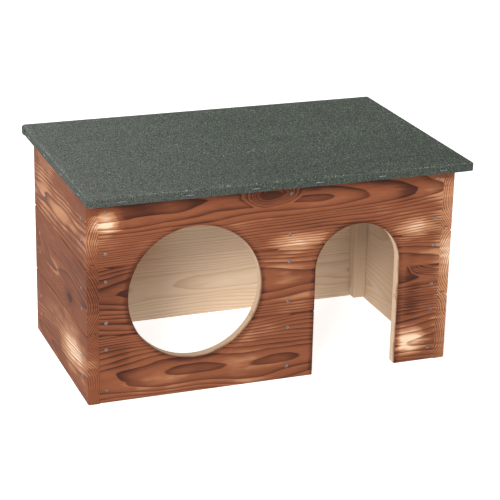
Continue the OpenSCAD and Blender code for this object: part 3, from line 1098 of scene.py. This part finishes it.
def roofing_felt():
    """The felt, turned down on all four sides, its corners folded and the board joints showing through."""
    felt = block("mineral_felt", ROOF_LOW, ROOF_HIGH)
    pick_faces(felt, lambda face: face.normal.z < -0.9)
    bpy.ops.mesh.delete(type="FACE")
    pick_edges(felt, lambda a, b: abs(a.z - b.z) > NEAR)
    bpy.ops.mesh.bevel(offset=FELT_CORNER, segments=4)
    pick_edges(felt, lambda a, b: min(a.z, b.z) > ROOF_HIGH.z - NEAR)
    bpy.ops.mesh.bevel(offset=FELT_BEND, segments=4)
    for axis, normal in ((0, RIGHT), (1, BACK)):
        span = ROOF_HIGH[axis] - ROOF_LOW[axis]
        count = round(span / FELT_CELL)
        for i in range(1, count):
            slice_at(normal * (ROOF_LOW[axis] + i * span / count), normal)
    for height in FLAP_ROWS:
        slice_at((0, 0, ROOF_LOW.z + height), UP)
    put_down()
    lay_felt(felt)
    modify(felt, "SOLIDIFY", thickness=FELT_T * 0.95, offset=-1, use_even_offset=True)
    # Inside the turned-down sides, the underside lies flat on the boards
    for vertex in felt.data.vertices:
        if edge_distance(vertex.co) > 1.2 * FELT_T:
            vertex.co.z = max(vertex.co.z, DECK_HIGH + NEAR)
    tabs = [corner_tab(x, y) for x in (-1, 1) for y in (-1, 1)]
    felt = join("mineral_felt", [felt, *tabs])
    coat(felt, FELT)
    take_up(felt)
    bpy.ops.object.shade_smooth_by_angle(angle=math.radians(50))
    fit(felt, "roofing_felt", "roof")


def edge_distance(place):
    """How far a place is inside the roof's outline."""
    return min(place.x - ROOF_LOW.x, ROOF_HIGH.x - place.x, place.y - ROOF_LOW.y, ROOF_HIGH.y - place.y)


WAVE, WAVE_FULL = 0.22 * MM, 20 * MM  # the waves' height, and how far inside they reach it
FURROW, FURROW_W = 0.30 * MM, 4 * MM
FLAP_W, FLAP_WAVE, EDGE_WAVE = 3 * MM, 0.15 * MM, 0.35 * MM  # the turned-down sides


def lay_felt(felt):
    """The felt settles on its boards: low waves, a furrow over each joint and an uneven lower edge."""
    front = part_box("roof_board_front")[0].y
    joints = [front + row * ROOF_COVER for row in (1, 2)]
    for vertex in felt.data.vertices:
        place = vertex.co.copy()
        wave = noise.noise(place * 16) + 0.5 * noise.noise(place * 43)
        inside = edge_distance(place)
        if inside > FLAP_W:
            furrow = sum(math.exp(-((place.y - joint) / FURROW_W) ** 2) for joint in joints)
            vertex.co.z -= FURROW * furrow + WAVE * (wave + 1.5) * min(1, inside / WAVE_FULL)
        else:
            outward = Vector((place.x, place.y, 0))
            outward.x *= abs(place.x) > ROOF_HIGH.x - 2 * MM
            outward.y *= abs(place.y) > ROOF_HIGH.y - 2 * MM
            vertex.co += outward.normalized() * FLAP_WAVE * (wave - 1)
            if place.z < ROOF_LOW.z + NEAR:
                vertex.co.z += EDGE_WAVE * (noise.noise(place * 35) + 1)


TAB_L, TAB_T, TAB_CORNER, TAB_EDGE = 17 * MM, 0.9 * MM, 3 * MM, 0.3 * MM
TAB_WRAP, TAB_INSET = 2.5 * MM, 0.35 * MM  # how far a tab starts inside the roof's end and its side
TAB_LOW, TAB_HIGH = 0.4 * MM, 2.0 * MM  # how far it stays above the felt's lower edge and below its top
TAB_SLOPE_AT, TAB_SLOPE = 3.5 * MM, (0.75, -0.66)  # the slanting cut at its end


def corner_tab(x_side, y_side):
    """The end of the long side's felt, folded round the corner on to the end of the roof."""
    x = ROOF_HIGH.x if x_side > 0 else ROOF_LOW.x
    y = ROOF_HIGH.y if y_side > 0 else ROOF_LOW.y
    xs = sorted((x - x_side * TAB_WRAP, x + x_side * TAB_T))
    ys = sorted((y - y_side * TAB_INSET, y - y_side * TAB_L))
    low = Vector((xs[0], ys[0], ROOF_LOW.z + TAB_LOW))
    high = Vector((xs[1], ys[1], ROOF_HIGH.z - TAB_HIGH))
    tab = block("tab", low, high)
    pick_edges(tab, lambda a, b: abs(a.z - b.z) > NEAR and abs(a.y - y) < MM and (a.x - x) * x_side > 0)
    bpy.ops.mesh.bevel(offset=TAB_CORNER, segments=5)
    bpy.ops.mesh.select_all(action="SELECT")
    bpy.ops.mesh.bisect(
        plane_co=(x, y - y_side * TAB_L, low.z + TAB_SLOPE_AT),
        plane_no=(0, -y_side * TAB_SLOPE[0], TAB_SLOPE[1]),
        use_fill=True, clear_outer=True,
    )
    put_down()
    round_over(tab, TAB_EDGE, 2, 40)
    return tab


# ---- The house ----

NAIL_L, LONG_SCREW_L, SHORT_SCREW_L = 28.2 * MM, 22 * MM, 9 * MM


def build_house():
    """Everything that stands on the ground."""
    for node in frame["nodes"]:
        words = node.split("_")
        if words[0] in WALLS and words[1] == "board":
            wall_board(node)
        elif "batten" in words and words[0] in ("corner", "centre"):
            batten(node, "house")
    pattern = nail("nail", NAIL_L)
    for wall in WALLS:
        wall_nails(wall, pattern)
    bpy.data.objects.remove(pattern)


def build_roof():
    """The boards, battens and felt, which lift together."""
    boards = [roof_board(f"roof_board_{row}") for row in ROOF_ROWS]
    for side in ("left", "right"):
        batten(f"roof_batten_{side}", "roof")
    long_screw = screw("long_screw", LONG_SCREW_L)
    batten_screws(long_screw)
    bpy.data.objects.remove(long_screw)
    roofing_felt()
    pattern = staple("staple")
    felt_staples(pattern)
    bpy.data.objects.remove(pattern)


def build_hinges():
    short_screw = screw("short_screw", SHORT_SCREW_L)
    for side in ("left", "right"):
        hinge(side + "_hinge", short_screw)
    bpy.data.objects.remove(short_screw)


# ---- Studio ----


def studio_floor():
    put_down()
    bpy.ops.mesh.primitive_plane_add(size=24)
    floor = named("floor")
    floor.data.materials.append(pale_floor())


def soft_box(name, place, size, watts, colour=(1, 1, 1), aim=(0, 0, 0.12)):
    """A square soft light at place, aimed at a point."""
    light = bpy.data.lights.new(name, "AREA")
    light.size = size
    light.energy = watts
    light.color = colour
    lamp = bpy.data.objects.new(name, light)
    bpy.context.scene.collection.objects.link(lamp)
    lamp.location = place
    lamp.rotation_euler = (Vector(place) - Vector(aim)).to_track_quat("Z", "Y").to_euler()


def studio_lights():
    soft_box("key_light", (-1.70, -2.45, 1.64), 0.8, 98, (1.0, 0.98, 0.95))
    soft_box("fill_light", (1.8, -2.6, 1.2), 1.8, 20, (1.0, 0.99, 0.97))
    soft_box("top_light", (-0.85, 0.80, 1.45), 1.0, 20)
    world = bpy.data.worlds.new("studio")
    bpy.context.scene.world = world
    world.use_nodes = True
    background = world.node_tree.nodes["Background"]
    background.inputs["Color"].default_value = (1, 1, 1, 1)
    background.inputs["Strength"].default_value = 0.32


def studio_camera():
    """A long lens from the left of the front and above, tipped very slightly."""
    azimuth, elevation, roll = (math.radians(angle) for angle in (20.58, 20.33, 1.15))
    centre, distance = Vector((0, 0, 0.134)), 2.292
    level = math.cos(elevation)
    away = Vector((-math.sin(azimuth) * level, -math.cos(azimuth) * level, math.sin(elevation)))
    right = (-away).cross(UP).normalized()
    above = right.cross(-away)
    tipped_right = math.cos(roll) * right + math.sin(roll) * above
    tipped_above = math.cos(roll) * above - math.sin(roll) * right
    turn = Matrix((tipped_right, tipped_above, away)).transposed().to_4x4()
    data = bpy.data.cameras.new("camera")
    data.sensor_width = 36
    data.lens = 125.5
    data.shift_x, data.shift_y = 0.0207, -0.0017
    camera = bpy.data.objects.new("camera", data)
    bpy.context.scene.collection.objects.link(camera)
    camera.matrix_world = Matrix.Translation(centre + distance * away) @ turn
    bpy.context.scene.camera = camera


bpy.context.scene.view_settings.view_transform = "Standard"
studio_camera()
build_house()
build_roof()
build_hinges()
studio_floor()
studio_lights()
put_down()
